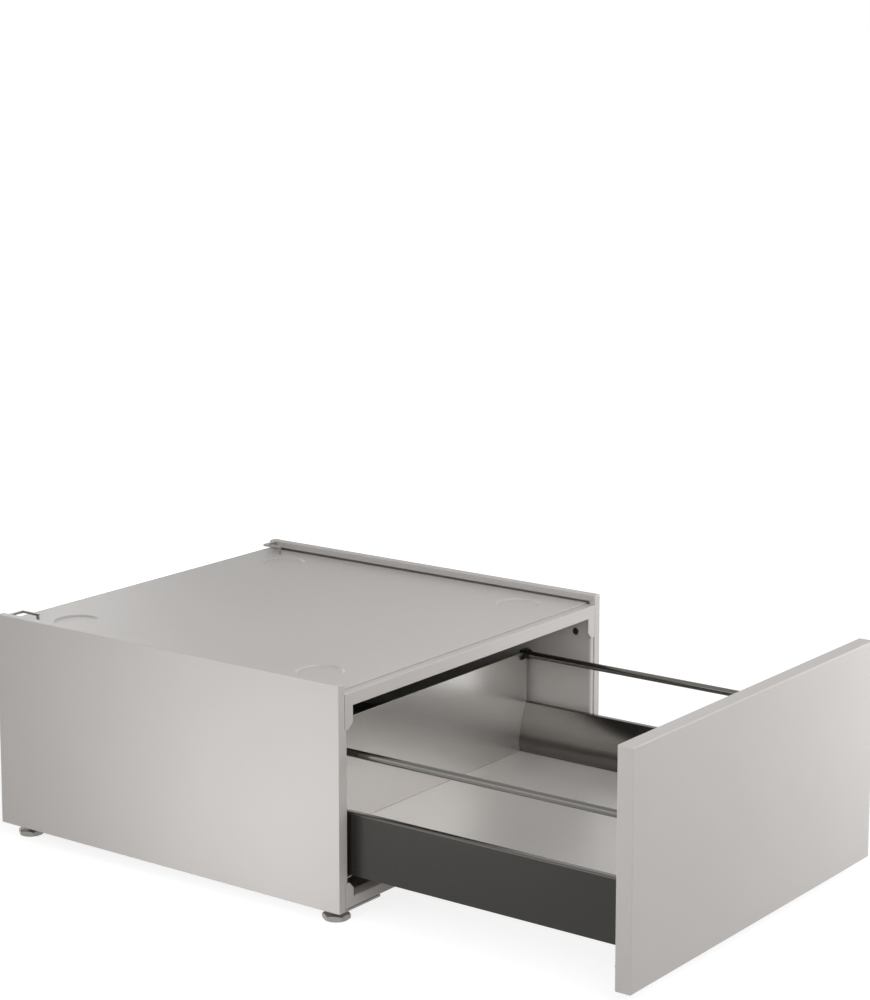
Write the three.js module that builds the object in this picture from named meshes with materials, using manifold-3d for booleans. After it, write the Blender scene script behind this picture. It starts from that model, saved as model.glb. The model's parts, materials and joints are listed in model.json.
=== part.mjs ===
// Pedestal drawer for a front-loading laundry machine, in millimetres, +Z up.
// X runs to the right, the drawer pulls out towards -Y and the floor is z = 0.
// The drawer stands open; every moving piece has a group of its own.

import * as THREE from 'three';
import { mergeVertices } from 'three/addons/utils/BufferGeometryUtils.js';
import Module from 'manifold-3d';

const wasm = await Module();
wasm.setup();

// ---------------------------------------------------------------------------
// Sizes of the cabinet
// ---------------------------------------------------------------------------

const overallWidth = 595;
const cabinetDepth = 604;
const panelHeight = 298;
const footDrop = 17; // from the floor to the lower edge of the side panels
const seat = 0.3; // clearance between two pieces that bear on each other
const gridStep = 1e-4; // of the vertices that booleans work on

const panelThickness = 13.2; // depth of the folded edge of a side panel
const panelSkin = 1;
const panelLip = 12; // flange that turns in behind the folded edge
const panelEdgeRadius = 1.2;

const wallInset = 20.5; // outer side of the cabinet to the bay face of the inner wall
const wallSheet = 1.2;

const frameSheet = 1.5; // rails, gussets and corner tabs
const railEndGap = 0.5; // shadow line between a front rail and the side panel
const topRailHeight = 17;
const topRailDepth = 40;
const bottomRailHeight = 13.7;
const bottomRailDepth = 18;
const rearRailHeight = 30;
const rearRailDepth = 24;
const bottomSheet = 1.2;
const bottomNotch = 14; // corner cut out round the stud of a levelling foot

const earWidth = 15.8; // corner ears of both front rails
const earChamfer = 8.5;
const topEarDrop = 29.7; // below the front top rail
const bottomEarRise = 20; // above the front bottom rail
const earTabDepth = 60; // tab that the upper ear turns back along the inner wall
const reliefRadius = 1.6;
const reliefFromFront = 52;
const plugHeadRadius = 5;
const plugHeadHeight = 1.3;
const plugStemRadius = 3;
const plugStemEnd = 1; // past the far side of the inner wall
const plugFromFront = 26;
const plugBelowRail = 23.2;

const topRecess = 12; // top plate below the upper edges of the side panels
const topSheet = 1.5;
const topSetback = 14; // front edge of the top plate behind the rail's face
const dishRadius = 32; // pressed cups for the feet of the machine on top
const dishDepth = 2;
const dishSlope = 3;
const dishFromSide = 75;
const dishFromFront = 90;
const dishFromBack = 80;

const rearSheet = 1;
const rearMargin = 12; // flat edge beside the beads
const beadWidth = 10;
const beadDepth = 2.5;
const beadHeights = [115, 200]; // above the lower edge of the side panels

const strapRise = 11.6; // top of the machine's rear foot straps above the top plate
const strapBar = 3.4;
const strapReach = 26;
const strapWidth = 5;
const strapArmWidth = 3;
const strapTongue = 34;
const strapFromBack = 8;

// ---------------------------------------------------------------------------
// Sizes of the levelling feet
// ---------------------------------------------------------------------------

const footFromSide = 25;
const footFromFront = 25;
const footFromBack = 32;
const padAcrossCorners = 37.5;
const padHeight = 8;
const padChamfer = 1.8;
const studRadius = 4;
const studAbovePlate = 16;
const studChamfer = 1;
const studInPad = 5;
const footPlate = 3;
const footPlateSize = 70.8;
const footPlateChamfer = 18;
const lockNutAcrossFlats = 13;
const lockNutHeight = 5;
const lockNutChamfer = 0.8;
const frontFootTurn = -1; // degrees that the front pads happen to be screwed round
const rearFootTurn = -6.5;

// ---------------------------------------------------------------------------
// Sizes of the drawer
// ---------------------------------------------------------------------------

const drawerOpening = 409; // how far the drawer stands out of its closed place
const closedGap = 2.7; // drawer front to cabinet when it is closed
const frontHeight = 298.7; // its lower edge is level with the side panels'
const frontThickness = 21.5;
const frontSkin = 1;
const frontEdgeRadius = 1.8;
const linerSheet = 1;
const linerReturn = 14;
const bumperRadius = 4.5;
const bumperFromEdge = 30;
const bumperFromSide = 6.5;

const boxLength = 515.7; // back of the drawer front to the face of the back panel
const sideGap = 3; // inner wall to the drawer side
const sideSheet = 1;
const sideBottom = 46.4; // heights above the lower edge of the side panels
const sideTop = 129;
const sideTopWidth = 9.5;
const sideTopChamfer = 2;
const sideFootWidth = 27.5;
const sideFootHeight = 64.5;
const sideFootRoll = 1;
const sideKnee = 88.5; // height where the hollow of the inner face steepens
const sideRecess = 3.5;
const sideLedge = 12.5; // flange that carries the drawer floor
const innerFaceSteps = 10;

const floorTop = 59;
const floorSheet = 1.2;
const floorEdge = 11;

const backSheet = 1.2;
const backTop = 204.2;
const backBottom = 47;
const backInset = 31.3;
const backNotchInset = 40; // the lower corners are cut out round the runners
const backNotchTop = 84;
const backReturn = 12;
const backReturnTop = 186;
const backHem = 8;

const rodInset = 36.6;
const rodHeight = 201.8;
const rodRadius = 5;
const rodEndChamfer = 0.6;
const socketWall = 3;
const socketRim = 1.5;
const socketLength = 12;
const socketFloor = 2;
const clipWall = 1.8;
const clipTop = 208;
const clipLength = 8;
const clipTab = 5;
const clipTabHeight = 5.4;

const bracketHeight = 32;
const bracketWidth = 7;
const bracketLength = 38;
const bracketAboveRunner = 5;

// ---------------------------------------------------------------------------
// Sizes of the telescopic runners, which work inside the hollow drawer sides
// ---------------------------------------------------------------------------

const runnerLength = 500;
const runnerSetback = 5;
const runnerSheet = 1.5;
const slideSheet = 1.2;
const slideGap = 1.4; // between the upright webs of two members
const railInset = 31.5;
const railTop = 76;
const railFloor = 43; // upper face of the web that passes under the drawer side
const wallFlange = 22.7;
const hookDrop = 7.6;
const middleWebBottom = 44.5;
const runnerFootInset = 58; // where the drawer member's foot ends under the ledge

// ---------------------------------------------------------------------------
// Places worked out from the sizes
// ---------------------------------------------------------------------------

const halfWidth = overallWidth / 2;
const fromSide = (distance) => distance - halfWidth; // x, measured in from the left side
const above = (height) => footDrop + height; // z, measured up from the side panels' edge

const panelInner = fromSide(panelThickness);
const bayInner = panelInner + seat; // left end of the pieces that fit between the side panels
const railEnd = panelInner + railEndGap;
const wallFace = fromSide(wallInset);
const topFace = panelHeight - topRecess;
const railTopFace = topFace - topSheet - seat;
const railUnderside = railTopFace - topRailHeight;
const bottomRailBase = footPlate + seat;
const bottomRailTop = bottomRailBase + bottomRailHeight;
const earInner = railEnd + earWidth;
const rearFace = cabinetDepth - rearSheet - seat; // back of the pieces in front of the rear panel

const sideInset = wallInset + sideGap;
const sideRecessInset = sideInset + sideFootWidth - sideRecess;
const floorUnderside = floorTop - floorSheet;
const ledgeTop = floorUnderside - seat;
const backPlane = boxLength;
const closedToOpen = closedGap + drawerOpening;
const openReach = closedToOpen + frontThickness; // front of the open drawer to the cabinet

const middleUnderside = railTop + seat;
const slideUnderside = middleUnderside + slideSheet + seat;
const slideTop = slideUnderside + slideSheet;
const middleWeb = railInset + slideGap;
const slideWeb = middleWeb + slideSheet + slideGap;
const middleHook = railInset - runnerSheet - slideGap;
const slideHook = middleHook - slideSheet - slideGap;

// ---------------------------------------------------------------------------
// Materials
// ---------------------------------------------------------------------------

const paint = new THREE.MeshStandardMaterial({ color: 0xbab6b2, roughness: 0.5, metalness: 0.1 });
const zinc = new THREE.MeshStandardMaterial({ color: 0x9c9a97, roughness: 0.4, metalness: 0.8 });
const steel = new THREE.MeshStandardMaterial({ color: 0xa3a09c, roughness: 0.3, metalness: 0.8 });
const graphite = new THREE.MeshStandardMaterial({ color: 0x4a4844, roughness: 0.35, metalness: 0.6 });
const chrome = new THREE.MeshStandardMaterial({ color: 0x8a8886, roughness: 0.1, metalness: 1 });
const blackPlastic = new THREE.MeshStandardMaterial({ color: 0x141414, roughness: 0.5 });
const rubber = new THREE.MeshStandardMaterial({ color: 0x2a2a2a, roughness: 0.9 });

// ---------------------------------------------------------------------------
// Geometry helpers
// ---------------------------------------------------------------------------

/**
 * Closed geometry with shared vertices, ready for a boolean or a mirror image. Its vertices
 * snap to a fine grid, so that faces meant to lie in one plane do.
 */
function indexed(geometry) {
  const bare = geometry.clone();
  bare.deleteAttribute('normal');
  bare.deleteAttribute('uv');
  const coordinates = bare.attributes.position.array;
  coordinates.forEach((value, i) => {
    coordinates[i] = Math.round(value / gridStep) * gridStep;
  });
  return mergeVertices(bare, gridStep / 2);
}

function toSolid(geometry) {
  const merged = indexed(geometry);
  return new wasm.Manifold(new wasm.Mesh({
    numProp: 3,
    vertProperties: Float32Array.from(merged.attributes.position.array),
    triVerts: Uint32Array.from(merged.index.array),
  }));
}

function toGeometry(solid) {
  const { vertProperties, triVerts } = solid.getMesh();
  const geometry = new THREE.BufferGeometry();
  geometry.setAttribute('position', new THREE.BufferAttribute(vertProperties, 3));
  geometry.setIndex(new THREE.BufferAttribute(triVerts, 1));
  geometry.computeVertexNormals();
  return geometry;
}

function join(first, ...others) {
  return toGeometry(others.reduce((sum, next) => sum.add(toSolid(next)), toSolid(first)));
}

function cut(body, ...tools) {
  return toGeometry(tools.reduce((rest, tool) => rest.subtract(toSolid(tool)), toSolid(body)));
}

function intersect(first, second) {
  return toGeometry(toSolid(first).intersect(toSolid(second)));
}

/** Mirror image in the plane x = 0. */
function mirrored(geometry) {
  const copy = indexed(geometry).scale(-1, 1, 1);
  const corners = copy.index.array;
  for (let i = 0; i < corners.length; i += 3) {
    [corners[i], corners[i + 1]] = [corners[i + 1], corners[i]];
  }
  copy.computeVertexNormals();
  return copy;
}

/** Box between two values on each axis. */
function box([x0, x1], [y0, y1], [z0, z1]) {
  const geometry = new THREE.BoxGeometry(x1 - x0, y1 - y0, z1 - z0);
  return geometry.translate((x0 + x1) / 2, (y0 + y1) / 2, (z0 + z1) / 2);
}

const outline = (points) => new THREE.Shape(points.map(([u, v]) => new THREE.Vector2(u, v)));

/** Section of a folded sheet: one face runs along the path, the metal lies on its left. */
function foldedSheet(path, thickness) {
  const points = path.map(([u, v]) => new THREE.Vector2(u, v));
  const normals = points.slice(1).map((end, i) => {
    const along = end.clone().sub(points[i]).normalize();
    return new THREE.Vector2(-along.y, along.x);
  });
  const farSide = points.map((point, i) => {
    const before = normals[Math.max(i - 1, 0)];
    const after = normals[Math.min(i, normals.length - 1)];
    const mitre = before.clone().add(after);
    return point.clone().addScaledVector(mitre, thickness / mitre.dot(before));
  });
  return new THREE.Shape([...points, ...farSide.reverse()]);
}

/** Turns an extrusion of a section that was drawn in y and z, x and z, or x and y. */
const turned = {
  x: (geometry) => geometry.rotateX(Math.PI / 2).rotateZ(Math.PI / 2),
  y: (geometry) => geometry.rotateX(Math.PI / 2),
  z: (geometry) => geometry,
};

/** Sweeps a section straight along one axis, from one value to another. */
function sweep(section, axis, from, to) {
  const options = { depth: to - from, bevelEnabled: false, curveSegments: 6 };
  const offset = { x: [from, 0, 0], y: [0, to, 0], z: [0, 0, from] }[axis];
  return turned[axis](new THREE.ExtrudeGeometry(section, options)).translate(...offset);
}

/** Solid of revolution about +Z from a half section that starts and ends on the axis. */
function revolve(halfSection, segments) {
  const points = halfSection.map(([r, z]) => new THREE.Vector2(r, z));
  return new THREE.LatheGeometry(points, segments).rotateX(Math.PI / 2);
}

/** Cylinder along +Z between two heights. */
function rod(radius, z0, z1, segments = 28) {
  return revolve([[0, z0], [radius, z0], [radius, z1], [0, z1]], segments);
}

/** Turns a solid that stands along +Z so that it points along +Y. */
const alongY = (geometry) => geometry.rotateX(-Math.PI / 2);

/** Turns a solid that stands along +Z so that it points along +X. */
const alongX = (geometry) => geometry.rotateY(Math.PI / 2);

/** Hexagonal prism whose corners are turned off at 30 degrees, as on a nut. */
function turnedHexagon(acrossCorners, z0, z1, chamfer) {
  const radius = acrossCorners / 2;
  const corners = Array.from({ length: 6 }, (_, i) => {
    const angle = i * Math.PI / 3;
    return [radius * Math.cos(angle), radius * Math.sin(angle)];
  });
  const face = radius - chamfer / Math.tan(Math.PI / 6);
  const cone = revolve([
    [0, z0],
    [face, z0],
    [radius, z0 + chamfer],
    [radius, z1 - chamfer],
    [face, z1],
    [0, z1],
  ], 48);
  return intersect(sweep(outline(corners), 'z', z0, z1), cone);
}

/** Rectangle whose two front corners are rounded, for a folded upright edge. */
function roundFrontSection(x0, x1, y0, y1, radius) {
  const section = new THREE.Shape();
  section.moveTo(x1, y0 + radius);
  section.lineTo(x1, y1);
  section.lineTo(x0, y1);
  section.lineTo(x0, y0 + radius);
  section.absarc(x0 + radius, y0 + radius, radius, Math.PI, 1.5 * Math.PI, false);
  section.lineTo(x1 - radius, y0);
  section.absarc(x1 - radius, y0 + radius, radius, 1.5 * Math.PI, 2 * Math.PI, false);
  return section;
}

// ---------------------------------------------------------------------------
// Cabinet; y = 0 is the front of the side panels
// ---------------------------------------------------------------------------

/** Folded tray: outer skin, four returns as deep as the panel is thick, and lips behind. */
function sidePanel() {
  const outside = fromSide(0);
  const section = roundFrontSection(outside, panelInner, 0, cabinetDepth, panelEdgeRadius);
  const hollow = box(
    [outside + panelSkin, panelInner - panelSkin],
    [panelSkin, cabinetDepth - panelSkin],
    [above(panelSkin), above(panelHeight - panelSkin)],
  );
  const mouth = box(
    [outside + panelSkin, panelInner + panelSkin],
    [panelLip, cabinetDepth - panelLip],
    [above(panelLip), above(panelHeight - panelLip)],
  );
  return cut(sweep(section, 'z', above(0), above(panelHeight)), hollow, mouth);
}

/** Inner wall of the bay, flanged front and back and notched round the front rails. */
function innerWall() {
  const path = [
    [bayInner, frameSheet + seat],
    [wallFace, frameSheet + seat],
    [wallFace, rearFace],
    [bayInner, rearFace],
  ];
  const wall = sweep(
    foldedSheet(path, wallSheet),
    'z',
    above(bottomRailBase),
    above(topFace - topSheet - seat),
  );
  const across = [fromSide(0), wallFace + seat];
  const upperNotch = box(
    across,
    [-seat, topRailDepth + seat],
    [above(railUnderside - seat), above(panelHeight)],
  );
  const lowerNotch = box(
    across,
    [-seat, bottomRailDepth + seat],
    [above(0), above(bottomRailTop + seat)],
  );
  return cut(wall, upperNotch, lowerNotch, plugHole());
}

/** Bore for the plug that pins the upper ear's tab to the inner wall. */
function plugHole() {
  const bore = alongX(rod(plugStemRadius + seat, 0, 2 * wallInset, 20));
  return bore.translate(fromSide(0), plugFromFront, above(railUnderside - plugBelowRail));
}

/** Channel section with its web to the front and both flanges turned to the back. */
function frontChannel(depth, z0, z1) {
  const path = [
    [depth, z1],
    [0, z1],
    [0, z0],
    [depth, z0],
  ];
  return sweep(foldedSheet(path, frameSheet), 'x', railEnd, -railEnd);
}

/** Channel section with its web to the back. */
function rearRail(z0) {
  const z1 = z0 + rearRailHeight;
  const path = [
    [rearFace - rearRailDepth, z0],
    [rearFace, z0],
    [rearFace, z1],
    [rearFace - rearRailDepth, z1],
  ];
  return sweep(foldedSheet(path, frameSheet), 'x', wallFace + seat, -wallFace - seat);
}

/** Sheet that closes the cabinet from below, cut out round the studs of the feet. */
function bottomPlate() {
  const side = -wallFace - seat;
  const front = bottomRailDepth + seat;
  const back = rearFace - rearRailDepth - seat;
  const base = above(bottomRailBase);
  const sheet = outline([
    [bottomNotch - side, front],
    [side - bottomNotch, front],
    [side - bottomNotch, front + bottomNotch],
    [side, front + bottomNotch],
    [side, back - bottomNotch],
    [side - bottomNotch, back - bottomNotch],
    [side - bottomNotch, back],
    [bottomNotch - side, back],
    [bottomNotch - side, back - bottomNotch],
    [-side, back - bottomNotch],
    [-side, front + bottomNotch],
    [bottomNotch - side, front + bottomNotch],
  ]);
  return sweep(sheet, 'z', base, base + bottomSheet);
}

/** Ear below the left end of the upper rail, with the tab that it turns back. */
function topEar() {
  const top = above(railUnderside + frameSheet);
  const bottom = above(railUnderside - topEarDrop);
  const plate = outline([
    [railEnd, top],
    [railEnd, bottom],
    [earInner - earChamfer, bottom],
    [earInner, bottom + earChamfer],
    [earInner, top],
  ]);
  const tab = box(
    [wallFace + seat, wallFace + seat + frameSheet],
    [0, earTabDepth],
    [bottom, top - frameSheet],
  );
  const relief = alongX(rod(reliefRadius, 0, 2 * wallInset, 16));
  relief.translate(fromSide(0), reliefFromFront, bottom + reliefRadius / 2);
  return cut(join(sweep(plate, 'y', 0, frameSheet), tab), plugHole(), relief);
}

function frontTopRail() {
  const ear = topEar();
  const rail = frontChannel(topRailDepth, above(railUnderside), above(railTopFace));
  return join(rail, ear, mirrored(ear));
}

/** The lower rail's web is mitred at both ends, where the corner ears meet it. */
function frontBottomRail() {
  const base = above(bottomRailBase);
  const top = above(bottomRailTop);
  const mitreStart = earInner - bottomRailHeight + seat * Math.SQRT2;
  const beyond = 2 * seat;
  const corner = sweep(
    outline([
      [railEnd - beyond, base - beyond],
      [mitreStart - beyond, base - beyond],
      [mitreStart + bottomRailHeight + beyond, top + beyond],
      [railEnd - beyond, top + beyond],
    ]),
    'y',
    -beyond,
    frameSheet + seat,
  );
  return cut(frontChannel(bottomRailDepth, base, top), corner, mirrored(corner));
}

/** Lower corner ear, mitred against the rail beside it. */
function bottomEar() {
  const base = above(bottomRailBase);
  const mitreTop = above(bottomRailTop);
  const top = mitreTop + bottomEarRise;
  const plate = outline([
    [railEnd, base],
    [earInner - bottomRailHeight, base],
    [earInner, mitreTop],
    [earInner, top - earChamfer],
    [earInner - earChamfer, top],
    [railEnd, top],
  ]);
  return sweep(plate, 'y', 0, frameSheet);
}

/** Round-headed plug that pins the ear's tab to the inner wall. */
function earPlug() {
  const tabFace = wallInset + seat + frameSheet;
  const plug = revolve([
    [0, wallInset - wallSheet - plugStemEnd],
    [plugStemRadius, wallInset - wallSheet - plugStemEnd],
    [plugStemRadius, tabFace + seat],
    [plugHeadRadius, tabFace + seat],
    [plugHeadRadius, tabFace + seat + plugHeadHeight / 2],
    [plugHeadRadius - 1, tabFace + seat + plugHeadHeight],
    [0, tabFace + seat + plugHeadHeight],
  ], 20);
  return alongX(plug).translate(
    fromSide(0),
    plugFromFront,
    above(railUnderside - plugBelowRail),
  );
}

/** Round cup pressed down into a sheet: the space inside it above a given lower face. */
function dish(x, y, rim) {
  return revolve([
    [0, rim - dishDepth],
    [dishRadius - dishSlope, rim - dishDepth],
    [dishRadius, rim],
    [dishRadius, rim + topSheet],
    [0, rim + topSheet],
  ], 40).translate(x, y, 0);
}

/** Plate that carries the machine, with a cup for each of its feet. */
function topPlate() {
  const top = above(topFace);
  const plate = box([bayInner, -bayInner], [topSetback, rearFace], [top - topSheet, top]);
  const dishX = -fromSide(dishFromSide);
  const places = [
    [-dishX, dishFromFront],
    [dishX, dishFromFront],
    [-dishX, cabinetDepth - dishFromBack],
    [dishX, cabinetDepth - dishFromBack],
  ];
  const cups = places.map(([x, y]) => dish(x, y, top - topSheet));
  const hollows = places.map(([x, y]) => dish(x, y, top));
  return cut(join(plate, ...cups), ...hollows);
}

/** Rear sheet with two pressed stiffening beads across it. */
function rearPanel() {
  const bottom = above(bottomRailBase);
  const top = above(topFace);
  const beads = beadHeights.flatMap((height) => [
    [cabinetDepth, above(height) - beadWidth],
    [cabinetDepth - beadDepth, above(height) - beadWidth / 2],
    [cabinetDepth - beadDepth, above(height) + beadWidth / 2],
    [cabinetDepth, above(height) + beadWidth],
  ]);
  const path = [[cabinetDepth, bottom], ...beads, [cabinetDepth, top]];
  const beadEnd = wallFace + rearMargin;
  const beaded = sweep(foldedSheet(path, rearSheet), 'x', beadEnd, -beadEnd);
  const margin = box(
    [bayInner, beadEnd + seat],
    [cabinetDepth - rearSheet, cabinetDepth],
    [bottom, top],
  );
  return join(beaded, margin, mirrored(margin));
}

/** Bar that hooks over the machine's rear foot: a bent arm on two legs. */
function rearStrap() {
  const outer = bayInner + seat;
  const inner = outer + strapReach;
  const back = rearFace - strapFromBack;
  const front = back - strapTongue;
  const top = above(topFace + strapRise);
  const arm = outline([
    [outer, back],
    [outer, back - strapWidth],
    [inner - strapArmWidth, back - strapWidth],
    [inner - strapArmWidth, front],
    [inner, front],
    [inner, back],
  ]);
  const legHeight = [above(topFace) + seat, top];
  const sideLeg = box([outer, outer + strapBar], [back - strapWidth, back], legHeight);
  const frontLeg = box([inner - strapArmWidth, inner], [front, front + strapBar], legHeight);
  return join(sweep(arm, 'z', top - strapBar, top), sideLeg, frontLeg);
}

/** Corner plate for a levelling foot; its free corner is cut off. */
function cornerFootPlate(footX, footY, outerY) {
  const x0 = bayInner;
  const x1 = x0 + footPlateSize;
  const farY = outerY + Math.sign(footY - outerY) * footPlateSize;
  const chamferY = farY - Math.sign(footY - outerY) * footPlateChamfer;
  const plate = outline([
    [x0, outerY],
    [x1, outerY],
    [x1, chamferY],
    [x1 - footPlateChamfer, farY],
    [x0, farY],
  ]);
  const bore = rod(studRadius + seat, 0, above(2 * footPlate)).translate(footX, footY, 0);
  return cut(sweep(plate, 'z', above(0), above(footPlate)), bore);
}

function lockNut() {
  const acrossCorners = lockNutAcrossFlats / Math.cos(Math.PI / 6);
  const top = above(0) - seat;
  const nut = turnedHexagon(acrossCorners, top - lockNutHeight, top, lockNutChamfer);
  return cut(nut, rod(studRadius + seat, 0, top + seat));
}

// ---------------------------------------------------------------------------
// Levelling feet, each about its own axis
// ---------------------------------------------------------------------------

function footPad() {
  const pad = turnedHexagon(padAcrossCorners, 0, padHeight, padChamfer);
  return cut(pad, rod(studRadius + seat, padHeight - studInPad, padHeight + seat));
}

function footStud() {
  const bottom = padHeight - studInPad + seat;
  const top = above(footPlate) + studAbovePlate;
  return revolve([
    [0, bottom],
    [studRadius, bottom],
    [studRadius, top - studChamfer],
    [studRadius - studChamfer, top],
    [0, top],
  ], 28);
}

// ---------------------------------------------------------------------------
// Drawer; y = 0 is the back of the drawer front
// ---------------------------------------------------------------------------

/** Hollow front: rounded outer edges, a thin face and four returns. */
function frontShell() {
  const r = frontEdgeRadius;
  const side = -fromSide(0);
  const faceOutline = outline([
    [r - side, above(r)],
    [side - r, above(r)],
    [side - r, above(frontHeight - r)],
    [r - side, above(frontHeight - r)],
  ]);
  const rounded = new THREE.ExtrudeGeometry(faceOutline, {
    depth: frontThickness,
    bevelThickness: r,
    bevelSize: r,
    bevelSegments: 4,
  });
  turned.y(rounded).translate(0, r, 0);
  const behind = box(
    [-overallWidth, overallWidth],
    [0, frontThickness],
    [0, above(2 * frontHeight)],
  );
  const hollow = box(
    [frontSkin - side, side - frontSkin],
    [frontSkin - frontThickness, frontSkin],
    [above(frontSkin), above(frontHeight - frontSkin)],
  );
  return cut(rounded, behind, hollow);
}

/** Tray that closes the back of the front. */
function frontLiner() {
  const margin = frontSkin + seat;
  const side = -fromSide(margin);
  const bottom = above(margin);
  const top = above(frontHeight - margin);
  const tray = box([-side, side], [-linerReturn, 0], [bottom, top]);
  const hollow = box(
    [linerSheet - side, side - linerSheet],
    [-2 * linerReturn, -linerSheet],
    [bottom + linerSheet, top - linerSheet],
  );
  return cut(tray, hollow);
}

/** Double-walled side in one folded sheet: ledge, shadow gap, hollow inner face and top. */
function drawerSide() {
  const outer = fromSide(sideInset);
  const foot = outer + sideFootWidth;
  const recess = fromSide(sideRecessInset);
  const footZ = above(sideFootHeight);
  const innerFace = new THREE.QuadraticBezierCurve(
    new THREE.Vector2(foot, footZ + sideFootRoll),
    new THREE.Vector2(foot, above(sideKnee)),
    new THREE.Vector2(outer + sideTopWidth, above(sideTop)),
  );
  const path = [
    [recess + sideLedge, above(ledgeTop)],
    [recess, above(ledgeTop)],
    [recess, footZ],
    [foot - sideFootRoll, footZ],
    ...innerFace.getPoints(innerFaceSteps).map((point) => [point.x, point.y]),
    [outer + sideTopChamfer, above(sideTop)],
    [outer, above(sideTop - sideTopChamfer)],
    [outer, above(sideBottom)],
  ];
  return sweep(foldedSheet(path, sideSheet), 'y', seat, backPlane - seat);
}

/** Floor sheet with its front and rear edges turned down. */
function drawerFloor() {
  const side = -fromSide(sideRecessInset) - seat;
  const edgeSide = side - sideLedge;
  const y0 = seat;
  const y1 = backPlane - seat;
  const sheet = box([-side, side], [y0, y1], [above(floorUnderside), above(floorTop)]);
  const edgeHeight = [above(floorTop - floorEdge), above(floorTop)];
  const frontEdge = box([-edgeSide, edgeSide], [y0, y0 + floorSheet], edgeHeight);
  const rearEdge = box([-edgeSide, edgeSide], [y1 - floorSheet, y1], edgeHeight);
  return join(sheet, frontEdge, rearEdge);
}

/** Back panel with a hemmed top, ends turned to the back and corners cut for the runners. */
function drawerBack() {
  const end = fromSide(backInset);
  const notch = fromSide(backNotchInset);
  const sheet = outline([
    [end, above(backTop)],
    [end, above(backNotchTop)],
    [notch, above(backNotchTop)],
    [notch, above(backBottom)],
    [-notch, above(backBottom)],
    [-notch, above(backNotchTop)],
    [-end, above(backNotchTop)],
    [-end, above(backTop)],
  ]);
  const hem = box(
    [end, -end],
    [backPlane, backPlane + 2 * backSheet],
    [above(backTop - backHem), above(backTop)],
  );
  const turnedEnd = box(
    [end, end + backSheet],
    [backPlane, backPlane + backReturn],
    [above(backNotchTop), above(backReturnTop)],
  );
  const panel = sweep(sheet, 'y', backPlane, backPlane + backSheet);
  return join(panel, hem, turnedEnd, mirrored(turnedEnd));
}

/** Angle that ties the drawer side to its front, inside the hollow of the side. */
function fixingBracket() {
  const outer = fromSide(sideInset) + sideSheet + seat;
  const z0 = above(slideTop + bracketAboveRunner);
  const path = [
    [outer, seat + bracketLength],
    [outer, seat],
    [outer + bracketWidth, seat],
  ];
  return sweep(foldedSheet(path, runnerSheet), 'z', z0, z0 + bracketHeight);
}

function galleryRod() {
  const start = 2 * seat + socketFloor;
  const end = backPlane - start;
  const bar = revolve([
    [0, start],
    [rodRadius - rodEndChamfer, start],
    [rodRadius, start + rodEndChamfer],
    [rodRadius, end - rodEndChamfer],
    [rodRadius - rodEndChamfer, end],
    [0, end],
  ], 32);
  return alongY(bar).translate(fromSide(rodInset), 0, above(rodHeight));
}

/** Cup on the drawer front's back that takes the front end of the rod. */
function rodSocket() {
  const bore = rodRadius + seat;
  const outer = bore + socketWall;
  const cup = revolve([
    [0, seat],
    [outer + socketRim, seat],
    [outer + socketRim, seat + socketRim],
    [outer, seat + 2 * socketRim],
    [outer, seat + socketLength],
    [bore, seat + socketLength],
    [bore, seat + socketFloor],
    [0, seat + socketFloor],
  ], 32);
  return alongY(cup).translate(fromSide(rodInset), 0, above(rodHeight));
}

/** Moulded clip: a collar round the rear end of the rod, hooked over the back panel's hem. */
function rodClip() {
  const bore = rodRadius + seat;
  const outer = bore + clipWall;
  const x = fromSide(rodInset);
  const z = above(rodHeight);
  const across = [x - outer, x + outer];
  const bodyBack = backPlane - seat;
  const front = bodyBack - clipLength;
  const hemBack = backPlane + 2 * backSheet + seat;
  const legBack = hemBack + clipWall;
  const collar = alongY(rod(outer, front, bodyBack, 32)).translate(x, 0, z);
  const saddle = box(across, [bodyBack - clipWall, legBack], [z, above(clipTop)]);
  const overHem = box(
    [x - 2 * outer, x + 2 * outer],
    [bodyBack, hemBack],
    [above(backBottom), above(backTop) + seat],
  );
  const rearLeg = box(across, [hemBack, legBack], [z - outer, z]);
  const tab = box(
    [x, x + outer + clipTab],
    [bodyBack - clipWall, bodyBack],
    [z - outer, z - outer + clipTabHeight],
  );
  const crown = box(across, [front - seat, legBack + seat], [above(clipTop), z + 2 * outer]);
  const hole = alongY(rod(bore, front - seat, bodyBack - socketFloor, 32)).translate(x, 0, z);
  return cut(join(collar, saddle, rearLeg, tab), overHem, crown, hole);
}

/** Soft stop that meets the side panel's edge when the drawer closes. */
function closingBumper(height) {
  const end = closedGap - seat;
  const disc = revolve([
    [0, seat],
    [bumperRadius, seat],
    [bumperRadius, end / 2],
    [bumperRadius - 1, end],
    [0, end],
  ], 24);
  return alongY(disc).translate(fromSide(bumperFromSide), 0, above(height));
}

// ---------------------------------------------------------------------------
// Runners: a fixed rail, a middle member that rides it and a drawer member over both
// ---------------------------------------------------------------------------

function runnerSweep(path, sheet, start) {
  return sweep(foldedSheet(path, sheet), 'y', start, start + runnerLength);
}

/** Rail on the inner wall: it passes under the drawer side and rises inside its hollow. */
function fixedRunner() {
  const web = fromSide(railInset) - runnerSheet;
  const wall = wallFace + seat;
  return runnerSweep([
    [web, above(railTop)],
    [web, above(railFloor)],
    [wall, above(railFloor)],
    [wall, above(railFloor - wallFlange)],
  ], runnerSheet, runnerSetback);
}

/** Middle member, hooked over the fixed rail. */
function middleRunner() {
  return runnerSweep([
    [fromSide(middleHook), above(middleUnderside - hookDrop)],
    [fromSide(middleHook), above(middleUnderside)],
    [fromSide(middleWeb), above(middleUnderside)],
    [fromSide(middleWeb), above(middleWebBottom)],
  ], slideSheet, runnerSetback);
}

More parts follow.
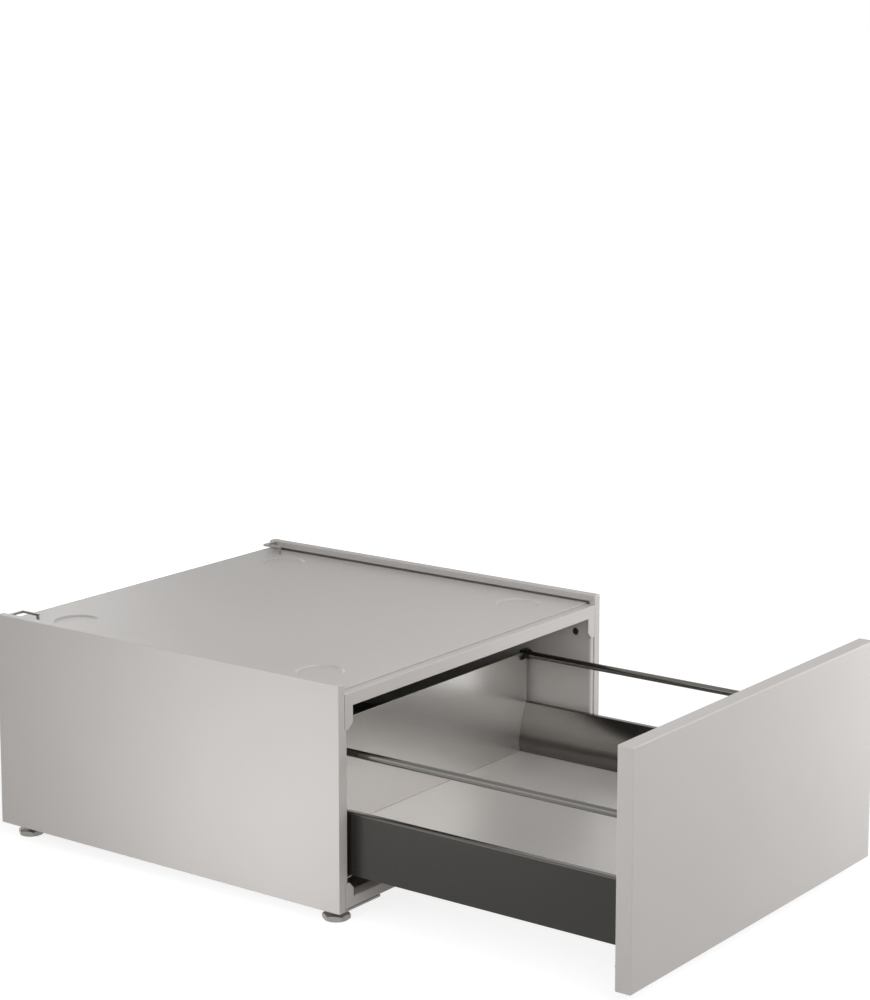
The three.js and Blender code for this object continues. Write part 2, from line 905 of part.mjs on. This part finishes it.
/** Drawer member, hooked over the middle one, with a foot below the drawer side's ledge. */
function drawerRunner() {
  const footFace = ledgeTop - sideSheet - seat - slideSheet;
  return runnerSweep([
    [fromSide(slideHook), above(slideUnderside - hookDrop)],
    [fromSide(slideHook), above(slideUnderside)],
    [fromSide(slideWeb), above(slideUnderside)],
    [fromSide(slideWeb), above(footFace)],
    [fromSide(runnerFootInset), above(footFace)],
  ], slideSheet, runnerSetback + closedGap);
}

// ---------------------------------------------------------------------------
// Assembly
// ---------------------------------------------------------------------------

function add(group, name, geometry, material) {
  const mesh = new THREE.Mesh(geometry, material);
  mesh.name = name;
  group.add(mesh);
}

/** Adds a left-hand piece and its mirror image. */
function addPair(group, name, geometry, material) {
  add(group, `${name}_left`, geometry, material);
  add(group, `${name}_right`, mirrored(geometry), material);
}

function addFoot(group, name, x, y, turn) {
  const foot = new THREE.Group();
  foot.position.set(x, y, 0);
  foot.rotation.z = THREE.MathUtils.degToRad(turn);
  add(foot, `foot_pad_${name}`, footPad(), zinc);
  add(foot, `foot_stud_${name}`, footStud(), zinc);
  group.add(foot);
}

const pedestal = new THREE.Group();
const cabinet = new THREE.Group();
const middleRunners = new THREE.Group();
const drawer = new THREE.Group();
middleRunners.position.y = -drawerOpening / 2;
drawer.position.y = -closedToOpen;
pedestal.add(cabinet, middleRunners, drawer);
pedestal.position.y = (openReach - cabinetDepth) / 2;

addPair(cabinet, 'side_panel', sidePanel(), paint);
addPair(cabinet, 'inner_wall', innerWall(), paint);
add(cabinet, 'front_top_rail', frontTopRail(), paint);
add(cabinet, 'front_bottom_rail', frontBottomRail(), paint);
add(cabinet, 'rear_top_rail', rearRail(above(railTopFace - rearRailHeight)), zinc);
add(cabinet, 'rear_bottom_rail', rearRail(above(bottomRailBase)), zinc);
add(cabinet, 'top_plate', topPlate(), paint);
add(cabinet, 'bottom_plate', bottomPlate(), zinc);
add(cabinet, 'rear_panel', rearPanel(), zinc);
addPair(cabinet, 'bottom_ear', bottomEar(), paint);
addPair(cabinet, 'ear_plug', earPlug(), blackPlastic);
addPair(cabinet, 'rear_foot_strap', rearStrap(), zinc);
addPair(cabinet, 'runner_fixed', fixedRunner(), zinc);

const feet = [
  { end: 'front', y: footFromFront, plateY: 0, turn: frontFootTurn },
  { end: 'rear', y: cabinetDepth - footFromBack, plateY: rearFace, turn: rearFootTurn },
];
for (const { end, y, plateY, turn } of feet) {
  const x = fromSide(footFromSide);
  addPair(cabinet, `foot_plate_${end}`, cornerFootPlate(x, y, plateY), zinc);
  addPair(cabinet, `foot_lock_nut_${end}`, lockNut().translate(x, y, 0), zinc);
  addFoot(pedestal, `${end}_left`, x, y, turn);
  addFoot(pedestal, `${end}_right`, -x, y, -turn);
}

addPair(middleRunners, 'runner_middle', middleRunner(), zinc);

add(drawer, 'drawer_front_shell', frontShell(), paint);
add(drawer, 'drawer_front_liner', frontLiner(), paint);
addPair(drawer, 'drawer_side', drawerSide(), graphite);
add(drawer, 'drawer_floor', drawerFloor(), steel);
add(drawer, 'drawer_back', drawerBack(), steel);
addPair(drawer, 'runner_drawer', drawerRunner(), zinc);
addPair(drawer, 'front_fixing_bracket', fixingBracket(), zinc);
addPair(drawer, 'gallery_rod', galleryRod(), chrome);
addPair(drawer, 'rod_socket', rodSocket(), blackPlastic);
addPair(drawer, 'rod_clip', rodClip(), blackPlastic);
addPair(drawer, 'closing_bumper_upper', closingBumper(panelHeight - bumperFromEdge), rubber);
addPair(drawer, 'closing_bumper_lower', closingBumper(bumperFromEdge), rubber);

export default pedestal;
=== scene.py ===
"""Looks for the pedestal drawer: finer pieces, materials, light and camera.

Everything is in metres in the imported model's frame: +X right, -Y towards the user, +Z up.
"""

import json
import math

import bmesh
import bpy
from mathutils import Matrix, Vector


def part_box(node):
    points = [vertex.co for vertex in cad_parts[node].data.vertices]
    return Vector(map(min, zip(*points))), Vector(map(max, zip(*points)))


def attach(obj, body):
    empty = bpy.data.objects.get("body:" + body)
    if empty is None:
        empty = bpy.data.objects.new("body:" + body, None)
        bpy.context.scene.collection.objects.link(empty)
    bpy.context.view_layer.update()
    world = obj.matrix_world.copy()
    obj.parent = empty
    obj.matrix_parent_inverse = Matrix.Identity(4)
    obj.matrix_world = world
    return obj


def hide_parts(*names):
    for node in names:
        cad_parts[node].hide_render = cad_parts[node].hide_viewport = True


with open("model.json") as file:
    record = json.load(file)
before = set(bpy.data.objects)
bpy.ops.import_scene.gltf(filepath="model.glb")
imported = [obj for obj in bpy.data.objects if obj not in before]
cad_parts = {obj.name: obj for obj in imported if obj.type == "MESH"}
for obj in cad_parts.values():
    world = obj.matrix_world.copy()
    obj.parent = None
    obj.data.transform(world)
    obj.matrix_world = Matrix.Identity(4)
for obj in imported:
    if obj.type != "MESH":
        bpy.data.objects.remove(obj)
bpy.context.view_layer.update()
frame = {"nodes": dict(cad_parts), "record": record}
NODES = frame["nodes"]
SIDES = ("left", "right")
ENDS = ("front", "rear")

MM = 0.001
SAME_PLACE = 1e-6  # how far apart two corners may be and still count as one


# ---------------------------------------------------------------------------
# Colour and node helpers
# ---------------------------------------------------------------------------


def linear(level):
    """Linear value of an 8-bit sRGB level."""
    c = level / 255
    return c / 12.92 if c <= 0.04045 else ((c + 0.055) / 1.055) ** 2.4


def rgb(r, g, b):
    return (linear(r), linear(g), linear(b), 1.0)


class Graph:
    """A few short calls for building a node tree; noise scales are features per metre."""

    def __init__(self, tree):
        self.tree = tree
        tree.nodes.clear()

    def node(self, kind, **settings):
        made = self.tree.nodes.new(kind)
        for key, value in settings.items():
            setattr(made, key, value)
        return made

    def link(self, out, into):
        self.tree.links.new(out, into)

    def noise(self, coords, scale, detail=2.0, roughness=0.5):
        made = self.node("ShaderNodeTexNoise")
        made.inputs["Scale"].default_value = scale
        made.inputs["Detail"].default_value = detail
        made.inputs["Roughness"].default_value = roughness
        self.link(coords, made.inputs["Vector"])
        return made.outputs["Fac"]

    def stretched(self, coords, scale):
        made = self.node("ShaderNodeMapping")
        made.inputs["Scale"].default_value = scale
        self.link(coords, made.inputs["Vector"])
        return made.outputs["Vector"]

    def remap(self, value, low, high, from_low=0.3, from_high=0.7):
        made = self.node("ShaderNodeMapRange")
        made.inputs["From Min"].default_value = from_low
        made.inputs["From Max"].default_value = from_high
        made.inputs["To Min"].default_value = low
        made.inputs["To Max"].default_value = high
        self.link(value, made.inputs["Value"])
        return made.outputs["Result"]

    def ramp(self, value, stops):
        made = self.node("ShaderNodeValToRGB")
        elements = made.color_ramp.elements
        while len(elements) < len(stops):
            elements.new(0.5)
        for element, (place, colour) in zip(elements, stops):
            element.position = place
            element.color = colour
        self.link(value, made.inputs["Fac"])
        return made.outputs["Color"]

    def bump(self, height, strength, distance):
        made = self.node("ShaderNodeBump")
        made.inputs["Strength"].default_value = strength
        made.inputs["Distance"].default_value = distance
        self.link(height, made.inputs["Height"])
        return made.outputs["Normal"]


def shade(colour, factor):
    """A colour made lighter or darker."""
    return (*(min(1.0, c * factor) for c in colour[:3]), 1.0)


def surface(
    name, colour, metallic, roughness, grain, spread=0.04, tone=0.04, specular=0.5,
    cloud_scale=9.0, patch_scale=60.0,
):
    """Principled material with a mottled colour and roughness and a fine relief.

    tone is how far the colour wanders in broad clouds, spread how far the roughness does in
    smaller patches. grain is (scale along each axis, strength, depth) of the relief.
    """
    material = bpy.data.materials.new(name)
    material.use_nodes = True
    g = Graph(material.node_tree)
    out = g.node("ShaderNodeOutputMaterial")
    shader = g.node("ShaderNodeBsdfPrincipled")
    g.link(shader.outputs["BSDF"], out.inputs["Surface"])
    coords = g.node("ShaderNodeTexCoord").outputs["Object"]
    clouds = g.noise(coords, cloud_scale, detail=3.0)
    shades = [(0.3, shade(colour, 1 - tone)), (0.7, shade(colour, 1 + tone))]
    g.link(g.ramp(clouds, shades), shader.inputs["Base Color"])
    shader.inputs["Metallic"].default_value = metallic
    shader.inputs["Specular IOR Level"].default_value = specular
    patches = g.noise(coords, patch_scale, detail=4.0)
    g.link(g.remap(patches, roughness - spread, roughness + spread), shader.inputs["Roughness"])
    stretch, strength, depth = grain
    fine = g.noise(g.stretched(coords, stretch), 1.0, detail=3.0, roughness=0.6)
    g.link(g.bump(fine, strength, depth), shader.inputs["Normal"])
    return material


EVEN_GRAIN = ((700, 700, 700), 0.05, 0.01 * MM)
MATERIALS = {
    "grey_paint": surface(
        "satin_grey_paint", rgb(196, 192, 189), metallic=0.1, roughness=0.42,
        grain=EVEN_GRAIN, spread=0.02, tone=0.01, specular=0.2,
    ),
    "graphite_paint": surface(
        "satin_graphite", rgb(52, 51, 48), metallic=0.6, roughness=0.26,
        grain=EVEN_GRAIN, spread=0.015, tone=0.02,
    ),
    "satin_steel": surface(
        "satin_steel", rgb(206, 203, 200), metallic=0.75, roughness=0.25,
        grain=((60, 1500, 1500), 0.015, 0.004 * MM), spread=0.006, tone=0.01,
    ),
    # The chrome's colour is darkened: painted dark reflection, standing in for the dark
    # surroundings real chrome rods would mirror.
    "dark_chrome": surface(
        "dark_chrome", rgb(104, 102, 99), metallic=1.0, roughness=0.16,
        grain=((900, 90, 900), 0.03, 0.005 * MM), spread=0.015, tone=0.02,
    ),
    "zinc_steel": surface(
        "zinc_plated_steel", rgb(150, 147, 143), metallic=0.6, roughness=0.36,
        grain=((500, 500, 500), 0.1, 0.02 * MM), spread=0.06, tone=0.05,
    ),
    "black_plastic": surface(
        "black_plastic", rgb(20, 20, 20), metallic=0.0, roughness=0.45,
        grain=((1800, 1800, 1800), 0.3, 0.03 * MM), tone=0.1,
    ),
    "black_rubber": surface(
        "black_rubber", rgb(34, 34, 34), metallic=0.0, roughness=0.75,
        grain=((1200, 1200, 1200), 0.3, 0.04 * MM), tone=0.1,
    ),
}
# Lighter copy of the graphite paint: painted light on the drawer sides' inner faces and tops.
PAINTED_LIGHT_GRAPHITE = surface(
    "satin_graphite_painted_light", rgb(97, 95, 92), metallic=0.95, roughness=0.18,
    grain=((700, 700, 700), 0.02, 0.01 * MM), spread=0.01, tone=0.02,
)
# Copy of the satin steel for the drawer floor: less metallic, and its lighter colour is painted
# light on the floor.
PAINTED_LIGHT_FLOOR_STEEL = surface(
    "satin_steel_floor_painted_light", rgb(214, 211, 208), metallic=0.3, roughness=0.35,
    grain=((60, 1500, 1500), 0.03, 0.004 * MM), spread=0.01, tone=0.01,
)
SLOT_OF = {part["node"]: part["material_slot"] for part in frame["record"]["subparts"]}
BODIES = frame["record"]["behaviour"]["bodies"]
BODY_OF = {node: body for body, nodes in BODIES.items() for node in nodes}


# ---------------------------------------------------------------------------
# Mesh helpers
# ---------------------------------------------------------------------------


def place(name, bm, node, smooth_angle=32, finish=None):
    """Makes an object of a bmesh, gives it the node's finish, body and place in the model."""
    bmesh.ops.recalc_face_normals(bm, faces=bm.faces)
    mesh = bpy.data.meshes.new(name)
    bm.to_mesh(mesh)
    bm.free()
    for polygon in mesh.polygons:
        polygon.use_smooth = True
    mesh.set_sharp_from_angle(angle=math.radians(smooth_angle))
    piece = bpy.data.objects.new(name, mesh)
    bpy.context.scene.collection.objects.link(piece)
    weighted = piece.modifiers.new("flat_faces_stay_flat", "WEIGHTED_NORMAL")
    weighted.keep_sharp = True
    slot = SLOT_OF[node]
    mesh.materials.append(finish or MATERIALS[slot])
    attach(piece, BODY_OF[node])
    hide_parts(node)
    return piece


def cad_bmesh(node):
    """The CAD node with one vertex at each corner and one polygon on each flat face."""
    bm = bmesh.new()
    bm.from_mesh(NODES[node].data)
    bmesh.ops.remove_doubles(bm, verts=bm.verts, dist=SAME_PLACE)
    flat = math.radians(0.5)
    bmesh.ops.dissolve_limit(bm, angle_limit=flat, verts=bm.verts, edges=bm.edges)
    return bm


def rounded_edges(bm, edges, width, segments):
    bmesh.ops.bevel(
        bm,
        geom=edges,
        offset=width,
        segments=segments,
        profile=0.5,
        affect="EDGES",
        clamp_overlap=True,
    )


def sharp_edges(bm, least_angle):
    return [edge for edge in bm.edges if edge.calc_face_angle(0) > math.radians(least_angle)]


def refined(node, width, finish=None):
    """The CAD node with its sharp edges rounded to a small radius."""
    bm = cad_bmesh(node)
    rounded_edges(bm, sharp_edges(bm, 25), width, 2)
    return place("finished_" + node, bm, node, finish=finish)


def refine_all(width, *nodes):
    for node in nodes:
        refined(node, width)


def other_axes(axis):
    return [i for i in range(3) if i != axis]


def extent(vertices, axis):
    places = [vert.co[axis] for vert in vertices]
    return max(places) - min(places)


def is_outer_fold(edge, axis, least_width=2.5 * MM):
    """Whether an edge is the outer corner between two broad flanges bent along one axis."""
    along = edge.verts[1].co - edge.verts[0].co
    parallel = abs(along[axis]) >= 0.999 * along.length
    return edge.is_convex and parallel and all(
        max(extent(face.verts, i) for i in other_axes(axis)) > least_width
        for face in edge.link_faces
    )


def folded(node, axis, fold, width=0.3 * MM):
    """The CAD node with a large radius on its folds along one axis, small ones elsewhere."""
    bm = cad_bmesh(node)
    rounded_edges(bm, [edge for edge in bm.edges if is_outer_fold(edge, axis)], fold, 5)
    rounded_edges(bm, sharp_edges(bm, 30), width, 2)
    return place("finished_" + node, bm, node)


def each_side(*names):
    return [f"{name}_{side}" for name in names for side in SIDES]


def end_outline(node, axis):
    """Corners of the flat face at the low end of a swept node, in order round it."""
    bm = cad_bmesh(node)
    low = min(vert.co[axis] for vert in bm.verts)
    at_end = {vert for vert in bm.verts if abs(vert.co[axis] - low) < SAME_PLACE}
    cap = {face for face in bm.faces if at_end.issuperset(face.verts)}
    rim = {edge for face in cap for edge in face.edges if not cap.issuperset(edge.link_faces)}
    edge = rim.pop()
    corners = [edge.verts[0], edge.verts[1]]
    while rim:
        edge = next(e for e in corners[-1].link_edges if e in rim)
        rim.remove(edge)
        corners.append(edge.other_vert(corners[-1]))
    first, second = other_axes(axis)
    points = [Vector((corner.co[first], corner.co[second])) for corner in corners[:-1]]
    bm.free()
    area = sum(a.cross(b) for a, b in zip(points, points[1:] + points[:1]))
    return points if area > 0 else points[::-1]


def turned(arm, angle):
    cos, sin = math.cos(angle), math.sin(angle)
    return Vector((arm.x * cos - arm.y * sin, arm.x * sin + arm.y * cos))


def filleted(points, sheet, fold, steps=5, least_turn=12):
    """Outline of a folded sheet with its folds rounded: fold is the radius inside a bend."""
    made = []
    for i, corner in enumerate(points):
        before = corner - points[i - 1]
        after = points[(i + 1) % len(points)] - corner
        turn = math.atan2(before.cross(after), before.dot(after))
        if abs(turn) < math.radians(least_turn):
            made.append(corner)
            continue
        shorter = min(before.length, after.length)
        at_cut_edge = shorter < 1.2 * sheet
        if at_cut_edge:
            radius = sheet / 6
        else:
            radius = fold if turn < 0 else fold + sheet
        reach = min(radius * math.tan(abs(turn) / 2), 0.49 * shorter)
        along = before.normalized()
        start = corner - along * reach
        bend = math.copysign(reach / math.tan(abs(turn) / 2), turn)
        centre = start + Vector((-along.y, along.x)) * bend
        for step in range(steps + 1):
            made.append(centre + turned(start - centre, turn * step / steps))
    return made


def add_walls(bm, rings):
    """Faces between closed rings of vertices that follow each other."""
    for lower, upper in zip(rings, rings[1:]):
        for i in range(len(lower)):
            j = (i + 1) % len(lower)
            bm.faces.new((lower[i], lower[j], upper[j], upper[i]))


def swept(node, axis, sheet, fold=0.5 * MM):
    """The folded sheet of a swept CAD node, with the radii of its folds."""
    low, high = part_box(node)
    outline = filleted(end_outline(node, axis), sheet, fold)
    first, second = other_axes(axis)
    bm = bmesh.new()
    rings = []
    for end in (low[axis], high[axis]):
        ring = []
        for point in outline:
            place_at = [0.0, 0.0, 0.0]
            place_at[axis] = end
            place_at[first] = point.x
            place_at[second] = point.y
            ring.append(bm.verts.new(place_at))
        rings.append(ring)
    add_walls(bm, rings)
    bm.faces.new(rings[0])
    bm.faces.new(rings[1][::-1])
    return place("finished_" + node, bm, node)


def paint_light_inside(piece):
    """Gives all faces but the upright outer wall a lighter copy of the graphite paint: painted
    light, as the sheet has one paint inside and out.
    """
    piece.data.materials.append(PAINTED_LIGHT_GRAPHITE)
    outermost = max(abs(vert.co.x) for vert in piece.data.vertices)
    for polygon in piece.data.polygons:
        upright = abs(polygon.normal.x) > 0.9
        outer = abs(polygon.center.x) > outermost - 0.1 * MM
        polygon.material_index = 0 if upright and outer else 1


def thickened(piece, sheet, offset, even):
    """Makes a sheet of an open surface: offset -1 lies behind it, 0 on both sides of it."""
    thick = piece.modifiers.new("sheet", "SOLIDIFY")
    thick.thickness = sheet
    thick.offset = offset
    thick.use_even_offset = even
    piece.modifiers.move(1, 0)
    return piece


def tray(node, open_axis, open_sign, sheet, radius, lip=0.0, segments=4):
    """Folded tray that fills a node's box: rounded folds, and lips round its open side."""
    low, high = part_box(node)
    bm = bmesh.new()
    bmesh.ops.create_cube(bm, size=1)
    for vert in bm.verts:
        vert.co = Vector([high[i] if vert.co[i] > 0 else low[i] for i in range(3)])
    rim = (high if open_sign > 0 else low)[open_axis]

    def on_rim(edge):
        return all(abs(vert.co[open_axis] - rim) < SAME_PLACE for vert in edge.verts)

    rounded_edges(bm, [e for e in bm.edges if lip or not on_rim(e)], radius, segments)
    mouth = max(
        (f for f in bm.faces if abs(f.normal[open_axis] * open_sign - 1) < 1e-3),
        key=lambda f: f.calc_area(),
    )
    if lip:
        bmesh.ops.inset_region(bm, faces=[mouth], thickness=lip - radius)
    bmesh.ops.delete(bm, geom=[mouth], context="FACES")
    return thickened(place("finished_" + node, bm, node), sheet, offset=-1, even=True)


def threaded_stud(node, radius=4 * MM, pitch=1.25 * MM, depth=0.65 * MM, chamfer=1 * MM):
    """Screw with a rolled thread, chamfered at its upper end."""
    low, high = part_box(node)
    middle_x, middle_y = (low[0] + high[0]) / 2, (low[1] + high[1]) / 2
    around = 24
    rows_per_turn = 6
    rows = round(rows_per_turn * (high[2] - low[2]) / pitch)
    bm = bmesh.new()
    rings = []
    for row in range(rows + 1):
        z = low[2] + (high[2] - low[2]) * row / rows
        ring = []
        for step in range(around):
            turn = (z / pitch + step / around) % 1
            reach = min(radius - depth * abs(2 * turn - 1), radius - chamfer + high[2] - z)
            angle = 2 * math.pi * step / around
            x = middle_x + reach * math.cos(angle)
            y = middle_y + reach * math.sin(angle)
            ring.append(bm.verts.new((x, y, z)))
        rings.append(ring)
    add_walls(bm, rings)
    bm.faces.new(rings[0][::-1])
    bm.faces.new(rings[-1])
    return place("threaded_" + node, bm, node, smooth_angle=60)


def spaced(start, end, fine, coarse, near):
    """Places from start to end, finely spaced where near() says so and coarsely elsewhere."""
    places = [start]
    while places[-1] < end - SAME_PLACE:
        steps = range(1, round(coarse / fine) + 1)
        first = next((i for i in steps if near(places[-1] + i * fine)), None)
        step = coarse if first is None else max(first - 1, 1) * fine
        places.append(min(end, places[-1] + step))
    return places


def beaded_panel(node, heights, sheet=1.0 * MM, depth=2.5 * MM, margin=42 * MM):
    """Rear sheet whose stiffening beads have soft shoulders and round ends."""
    low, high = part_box(node)
    bead_start, bead_end = low[0] + margin, high[0] - margin
    half_width = 10 * MM
    shoulder_width = 6 * MM

    def pressed(x, z):
        past_end = max(bead_start - x, x - bead_end, 0)
        away = min(math.hypot(past_end, z - height) for height in heights)
        shoulder = min(1.0, max(0.0, (half_width - away) / shoulder_width))
        return depth * shoulder * shoulder * (3 - 2 * shoulder)

    def near_end(x):
        from_start = x - bead_start + half_width / 2
        from_end = x - bead_end - half_width / 2
        return min(abs(from_start), abs(from_end)) < 8 * MM

    def near_bead(z):
        return min(abs(z - height) for height in heights) < half_width + 1 * MM

    across = spaced(low[0], high[0], 1.5 * MM, 30 * MM, near_end)
    upward = spaced(low[2], high[2], 1.0 * MM, 14 * MM, near_bead)
    middle = high[1] - sheet / 2
    bm = bmesh.new()
    grid = [[bm.verts.new((x, middle - pressed(x, z), z)) for x in across] for z in upward]
    for lower, upper in zip(grid, grid[1:]):
        for i in range(len(across) - 1):
            bm.faces.new((lower[i], lower[i + 1], upper[i + 1], upper[i]))
    piece = place("pressed_" + node, bm, node, smooth_angle=50)
    return thickened(piece, sheet, offset=0, even=False)


# ---------------------------------------------------------------------------
# Pieces
# ---------------------------------------------------------------------------

tray("drawer_front_shell", 1, 1, 1.0 * MM, 1.8 * MM, segments=6)
tray("side_panel_left", 0, 1, 1.0 * MM, 1.2 * MM, lip=12 * MM)
tray("side_panel_right", 0, -1, 1.0 * MM, 1.2 * MM, lip=12 * MM)
for node in each_side("drawer_side"):
    # The inner faces and tops of the drawer sides get painted light from the lighter graphite
    # copy.
    paint_light_inside(swept(node, 1, 1.0 * MM))
for node in each_side("runner_fixed"):
    swept(node, 1, 1.5 * MM, fold=1.0 * MM)
for node in each_side("runner_middle", "runner_drawer"):
    swept(node, 1, 1.2 * MM, fold=0.3 * MM)
for node in ("rear_top_rail", "rear_bottom_rail"):
    swept(node, 0, 1.5 * MM, fold=1.0 * MM)
for node in each_side("front_fixing_bracket"):
    swept(node, 2, 1.5 * MM, fold=0.6 * MM)
for node in ("front_top_rail", "front_bottom_rail"):
    folded(node, 0, 1.3 * MM)
for node in each_side("inner_wall"):
    folded(node, 2, 3.0 * MM, width=0.2 * MM)
beaded_panel("rear_panel", (132 * MM, 217 * MM))
refine_all(0.35 * MM, *each_side("bottom_ear", "rear_foot_strap"))
refine_all(0.3 * MM, "top_plate", "bottom_plate", *each_side("rod_socket"))
# The drawer floor's lighter steel copy is painted light.
refined("drawer_floor", 0.25 * MM, finish=PAINTED_LIGHT_FLOOR_STEEL)
refine_all(0.25 * MM, "drawer_back", "drawer_front_liner")
refine_all(0.3 * MM, *each_side("rod_clip", "ear_plug"))
refine_all(0.3 * MM, *each_side("closing_bumper_upper", "closing_bumper_lower"))
for end in ENDS:
    refine_all(0.3 * MM, *each_side(f"foot_pad_{end}", f"foot_plate_{end}"))
    refine_all(0.2 * MM, *each_side(f"foot_lock_nut_{end}"))
    for node in each_side(f"foot_stud_{end}"):
        threaded_stud(node)

for name, node in NODES.items():
    node.data.materials.clear()
    node.data.materials.append(MATERIALS[SLOT_OF[name]])


# ---------------------------------------------------------------------------
# Stage: floor, world, lamps and camera
# ---------------------------------------------------------------------------


def seen_directly(g):
    """1 where the camera, a reflection or a refraction looks straight at the backdrop."""
    path = g.node("ShaderNodeLightPath")
    seen = path.outputs["Is Camera Ray"]
    for other in ("Is Glossy Ray", "Is Transmission Ray"):
        either = g.node("ShaderNodeMath", operation="MAXIMUM")
        g.link(seen, either.inputs[0])
        g.link(path.outputs[other], either.inputs[1])
        seen = either.outputs["Value"]
    return seen


def add_floor(half_size=40, whiteness=(0.8, 1.0), fade=(0.7, 1.7)):
    """Pale floor that keeps the shadow near the object and is white further away.

    whiteness is its glow to the camera and to reflections before and after the fade, which runs
    between two distances from the middle.
    """
    bm = bmesh.new()
    bmesh.ops.create_grid(bm, x_segments=1, y_segments=1, size=half_size)
    mesh = bpy.data.meshes.new("floor")
    bm.to_mesh(mesh)
    bm.free()
    floor = bpy.data.objects.new("floor", mesh)
    bpy.context.scene.collection.objects.link(floor)
    material = bpy.data.materials.new("pale_floor")
    material.use_nodes = True
    g = Graph(material.node_tree)
    out = g.node("ShaderNodeOutputMaterial")
    diffuse = g.node("ShaderNodeBsdfDiffuse")
    diffuse.inputs["Color"].default_value = (0.4, 0.4, 0.4, 1)
    glow = g.node("ShaderNodeEmission")
    away = g.node("ShaderNodeVectorMath", operation="LENGTH")
    g.link(g.node("ShaderNodeTexCoord").outputs["Object"], away.inputs[0])
    strength = g.node("ShaderNodeMath", operation="MULTIPLY")
    g.link(seen_directly(g), strength.inputs[0])
    g.link(g.remap(away.outputs["Value"], *whiteness, *fade), strength.inputs[1])
    g.link(strength.outputs["Value"], glow.inputs["Strength"])
    total = g.node("ShaderNodeAddShader")
    g.link(diffuse.outputs["BSDF"], total.inputs[0])
    g.link(glow.outputs["Emission"], total.inputs[1])
    g.link(total.outputs["Shader"], out.inputs["Surface"])
    mesh.materials.append(material)


def set_world(light=0.05, seen=1.0):
    """White surroundings, and only a little light from them on the object."""
    world = bpy.data.worlds.new("studio")
    bpy.context.scene.world = world
    world.use_nodes = True
    g = Graph(world.node_tree)
    out = g.node("ShaderNodeOutputWorld")
    mix = g.node("ShaderNodeMixShader")
    g.link(seen_directly(g), mix.inputs["Fac"])
    for socket, strength in ((1, light), (2, seen)):
        background = g.node("ShaderNodeBackground")
        background.inputs["Color"].default_value = (1, 1, 1, 1)
        background.inputs["Strength"].default_value = strength
        g.link(background.outputs["Background"], mix.inputs[socket])
    g.link(mix.outputs["Shader"], out.inputs["Surface"])


def aim(thing, direction):
    thing.rotation_euler = direction.to_track_quat("-Z", "Y").to_euler()


def add_softbox(name, place_at, aim_at, size, watts, mirrored):
    data = bpy.data.lights.new(name, "AREA")
    data.shape = "RECTANGLE"
    data.size, data.size_y = size
    data.energy = watts
    lamp = bpy.data.objects.new(name, data)
    lamp.location = place_at
    lamp.visible_camera = False
    lamp.visible_glossy = mirrored
    aim(lamp, Vector(aim_at) - Vector(place_at))
    bpy.context.scene.collection.objects.link(lamp)


# Each lamp's place, aim, size and power, and whether reflections show it.
LAMPS = {
    "left_front": ((-1.15, -0.55, 0.5), (-0.3, 0, 0.15), (0.7, 0.7), 2.6, True),
    "left_rear": ((-1.9, 0.9, 0.75), (-0.3, 0.1, 0.15), (1.8, 1.3), 7.6, True),
    "left_low": ((-0.75, 0.05, 0.12), (-0.3, 0.05, 0.08), (0.24, 0.24), 1.1, False),
    "right": ((1.9, -1.5, 0.8), (0.2, -0.5, 0.15), (2.6, 1.5), 20, True),
    "right_near": ((0.75, -1.0, 0.32), (0.25, -0.52, 0.18), (0.5, 0.5), 3.5, False),
    "front_high": ((-1.0, -1.8, 1.6), (0, -0.3, 0.15), (2.2, 2.2), 28, True),
    "overhead": ((0.1, -0.3, 1.3), (0, -0.2, 0.1), (0.6, 0.6), 3.3, True),
    "rear": ((0.4, 2.2, 0.8), (0, 0.3, 0.15), (2.2, 1.4), 15, True),
}


def add_camera():
    """The photograph's viewpoint, from the fit of the panels' edges."""
    heading = 0.9305  # from +Y towards +X
    pitch = math.radians(9.13)  # below the horizon
    data = bpy.data.cameras.new("camera")
    data.sensor_width = 36
    data.lens = 93.14
    data.shift_y = -0.12
    camera = bpy.data.objects.new("camera", data)
    camera.location = (-2.7202, -2.0405, 1.2001)
    level = math.cos(pitch)
    forward = (math.sin(heading) * level, math.cos(heading) * level, -math.sin(pitch))
    aim(camera, Vector(forward))
    bpy.context.scene.collection.objects.link(camera)
    bpy.context.scene.camera = camera


add_floor()
set_world()
for name, settings in LAMPS.items():
    add_softbox(name, *settings)
add_camera()
bpy.context.scene.view_settings.view_transform = "Standard"
